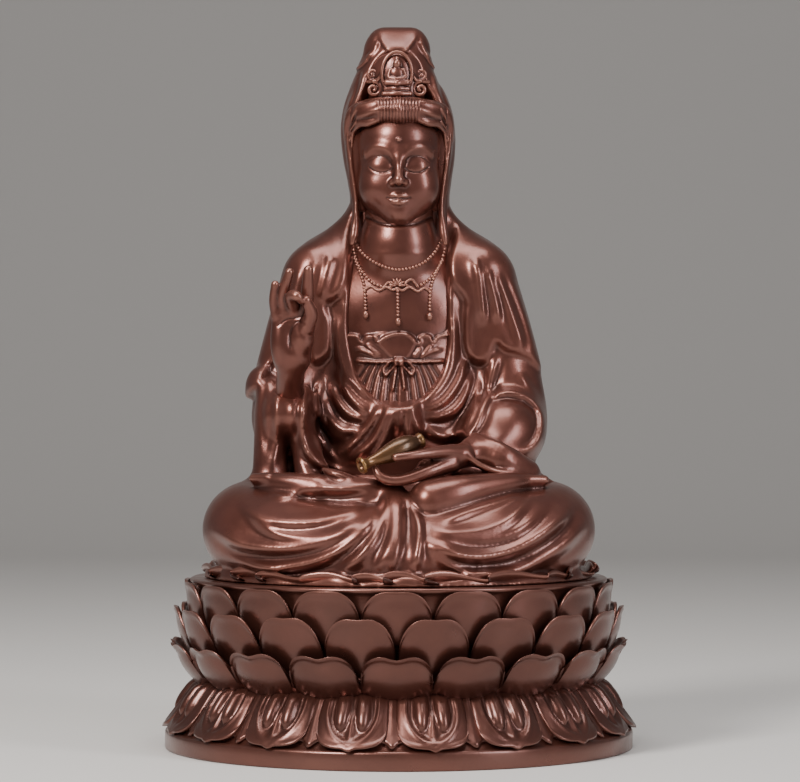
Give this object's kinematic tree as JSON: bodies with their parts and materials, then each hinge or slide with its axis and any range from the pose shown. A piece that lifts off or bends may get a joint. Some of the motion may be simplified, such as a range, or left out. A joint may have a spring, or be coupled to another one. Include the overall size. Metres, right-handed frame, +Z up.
{
  "type": "seated figure on lotus throne",
  "caption": "Robed hooded figure seated cross-legged, one hand raised and a small vase in its lap, on a round lotus throne of overlapping petals.",
  "frame": {"origin": "centre of the base plate's underside", "axes": "+Z up, -Y the way the figure faces, +X to the figure's left"},
  "size_m": [0.2021, 0.1999, 0.3074],
  "materials": {
    "figure": "dark reddish-brown patina, waxed",
    "throne": "dark reddish-brown patina, waxed",
    "vase": "worn gilt"
  },
  "bodies": {
    "root": {"guanyin_figure": "figure", "lotus_throne": "throne", "vase": "vase"}
  },
  "joints": []
}
